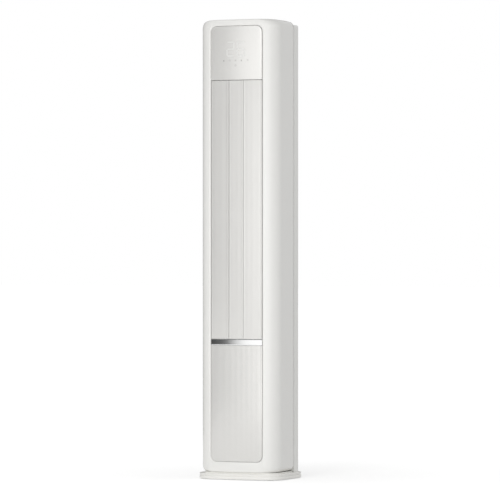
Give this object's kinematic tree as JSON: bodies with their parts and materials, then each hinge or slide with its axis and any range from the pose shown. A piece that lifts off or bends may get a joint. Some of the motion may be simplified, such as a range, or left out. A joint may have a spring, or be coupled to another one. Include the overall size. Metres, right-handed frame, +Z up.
{
  "type": "floor standing air conditioner",
  "caption": "Tall column air conditioner with a display panel, a vertical outlet of turning vanes, a fluted lower panel, a rear intake grille and a spread base.",
  "frame": {"origin": "on the floor, under the middle of the base", "axes": "+Z up, +X to the right seen from the room, -Y out of the front towards the room"},
  "size_m": [0.36, 0.28, 1.8],
  "materials": {
    "gloss_white": "moulded ABS, high gloss",
    "satin_white": "moulded ABS, satin",
    "grey_plastic": "moulded polypropylene, satin",
    "dark_plastic": "moulded plastic, matt",
    "foam": "moulded foam, matt",
    "zinc_steel": "zinc coated sheet",
    "chrome": "mirror",
    "aluminium": "bare fins",
    "copper": "bare copper tube",
    "brass": "turned brass",
    "rubber": "matt",
    "board": "solder mask, semi gloss"
  },
  "bodies": {
    "cabinet": {"base_plate": "satin_white", "foot_front_left": "rubber", "foot_front_right": "rubber", "foot_back_left": "rubber", "foot_back_right": "rubber", "front_cover": "gloss_white", "rear_housing": "satin_white", "intake_grille": "satin_white", "display_panel": "gloss_white", "display_board": "board", "trim_strip": "chrome", "lower_panel": "satin_white", "lower_shelf": "zinc_steel", "upper_shelf": "zinc_steel", "outlet_frame": "satin_white", "louvre_motor": "zinc_steel", "deflector_motor": "zinc_steel", "volute_guide": "foam", "flow_stabiliser": "foam", "fan_motor": "dark_plastic", "motor_bracket": "zinc_steel", "upper_bearing": "rubber", "fin_block": "aluminium", "coil_tube": "copper", "coil_bracket_left": "zinc_steel", "coil_bracket_right": "zinc_steel", "drain_pan": "foam", "drain_pipe": "grey_plastic", "liquid_nut": "brass", "gas_nut": "brass", "electrical_box": "zinc_steel", "electrical_lid": "zinc_steel", "control_board": "board", "terminal_block": "dark_plastic", "pipe_port_ring": "grey_plastic", "cable_gland": "dark_plastic"},
    "fan": {"fan_rotor": "dark_plastic", "fan_shaft": "zinc_steel", "fan_journal": "zinc_steel"},
    "vane_middle": {"vane_middle": "satin_white"},
    "vane_left": {"vane_left": "satin_white"},
    "vane_right": {"vane_right": "satin_white"},
    "louvre_link": {"louvre_link": "grey_plastic"},
    "deflector_1": {"deflector_1": "grey_plastic"},
    "deflector_2": {"deflector_2": "grey_plastic"},
    "deflector_3": {"deflector_3": "grey_plastic"},
    "deflector_4": {"deflector_4": "grey_plastic"},
    "deflector_5": {"deflector_5": "grey_plastic"},
    "deflector_6": {"deflector_6": "grey_plastic"},
    "deflector_7": {"deflector_7": "grey_plastic"},
    "deflector_link": {"deflector_link": "grey_plastic"},
    "filter_lower": {"filter_lower": "grey_plastic"},
    "filter_upper": {"filter_upper": "grey_plastic"}
  },
  "joints": [
    {"name": "fan_spin", "type": "hinge", "parent": "cabinet", "child": "fan", "pos_m": [-0.02, 0.012, 0.549], "axis": [0, 0, 1], "continuous": true},
    {"name": "vane_middle_swing", "type": "hinge", "parent": "cabinet", "child": "vane_middle", "pos_m": [0, -0.112, 0.555], "axis": [0, 0, 1], "range_deg": [0, 80]},
    {"name": "vane_left_swing", "type": "hinge", "parent": "cabinet", "child": "vane_left", "pos_m": [-0.07, -0.112, 0.555], "axis": [0, 0, 1], "range_deg": [0, 80]},
    {"name": "vane_right_swing", "type": "hinge", "parent": "cabinet", "child": "vane_right", "pos_m": [0.07, -0.112, 0.555], "axis": [0, 0, 1], "range_deg": [0, 80]},
    {"name": "louvre_link_pivot", "type": "hinge", "parent": "vane_middle", "child": "louvre_link", "pos_m": [0.009, -0.10128, 0.5477], "axis": [0, 0, 1], "range_deg": [-80, 0]},
    {"name": "deflector_4_tilt", "type": "hinge", "parent": "cabinet", "child": "deflector_4", "pos_m": [0, -0.059, 1.05425], "axis": [1, 0, 0], "range_deg": [-30, 30]},
    {"name": "deflector_1_tilt", "type": "hinge", "parent": "cabinet", "child": "deflector_1", "pos_m": [0, -0.059, 0.61775], "axis": [1, 0, 0], "range_deg": [-30, 30]},
    {"name": "deflector_2_tilt", "type": "hinge", "parent": "cabinet", "child": "deflector_2", "pos_m": [0, -0.059, 0.76325], "axis": [1, 0, 0], "range_deg": [-30, 30]},
    {"name": "deflector_3_tilt", "type": "hinge", "parent": "cabinet", "child": "deflector_3", "pos_m": [0, -0.059, 0.90875], "axis": [1, 0, 0], "range_deg": [-30, 30]},
    {"name": "deflector_5_tilt", "type": "hinge", "parent": "cabinet", "child": "deflector_5", "pos_m": [0, -0.059, 1.19975], "axis": [1, 0, 0], "range_deg": [-30, 30]},
    {"name": "deflector_6_tilt", "type": "hinge", "parent": "cabinet", "child": "deflector_6", "pos_m": [0, -0.059, 1.34525], "axis": [1, 0, 0], "range_deg": [-30, 30]},
    {"name": "deflector_7_tilt", "type": "hinge", "parent": "cabinet", "child": "deflector_7", "pos_m": [0, -0.059, 1.49075], "axis": [1, 0, 0], "range_deg": [-30, 30]},
    {"name": "deflector_link_pivot", "type": "hinge", "parent": "deflector_4", "child": "deflector_link", "pos_m": [0.0982, -0.05, 1.05425], "axis": [1, 0, 0], "range_deg": [-30, 30]},
    {"name": "filter_lower_slide", "type": "slide", "parent": "cabinet", "child": "filter_lower", "axis": [-1, 0, 0], "range_m": [0, 0.28]},
    {"name": "filter_upper_slide", "type": "slide", "parent": "cabinet", "child": "filter_upper", "axis": [-1, 0, 0], "range_m": [0, 0.28]}
  ],
  "couplings": [
    {"joint": "vane_left_swing", "follows": "vane_middle_swing", "ratio": 1},
    {"joint": "vane_right_swing", "follows": "vane_middle_swing", "ratio": 1},
    {"joint": "louvre_link_pivot", "follows": "vane_middle_swing", "ratio": -1},
    {"joint": "deflector_1_tilt", "follows": "deflector_4_tilt", "ratio": 1},
    {"joint": "deflector_2_tilt", "follows": "deflector_4_tilt", "ratio": 1},
    {"joint": "deflector_3_tilt", "follows": "deflector_4_tilt", "ratio": 1},
    {"joint": "deflector_5_tilt", "follows": "deflector_4_tilt", "ratio": 1},
    {"joint": "deflector_6_tilt", "follows": "deflector_4_tilt", "ratio": 1},
    {"joint": "deflector_7_tilt", "follows": "deflector_4_tilt", "ratio": 1},
    {"joint": "deflector_link_pivot", "follows": "deflector_4_tilt", "ratio": -1}
  ]
}
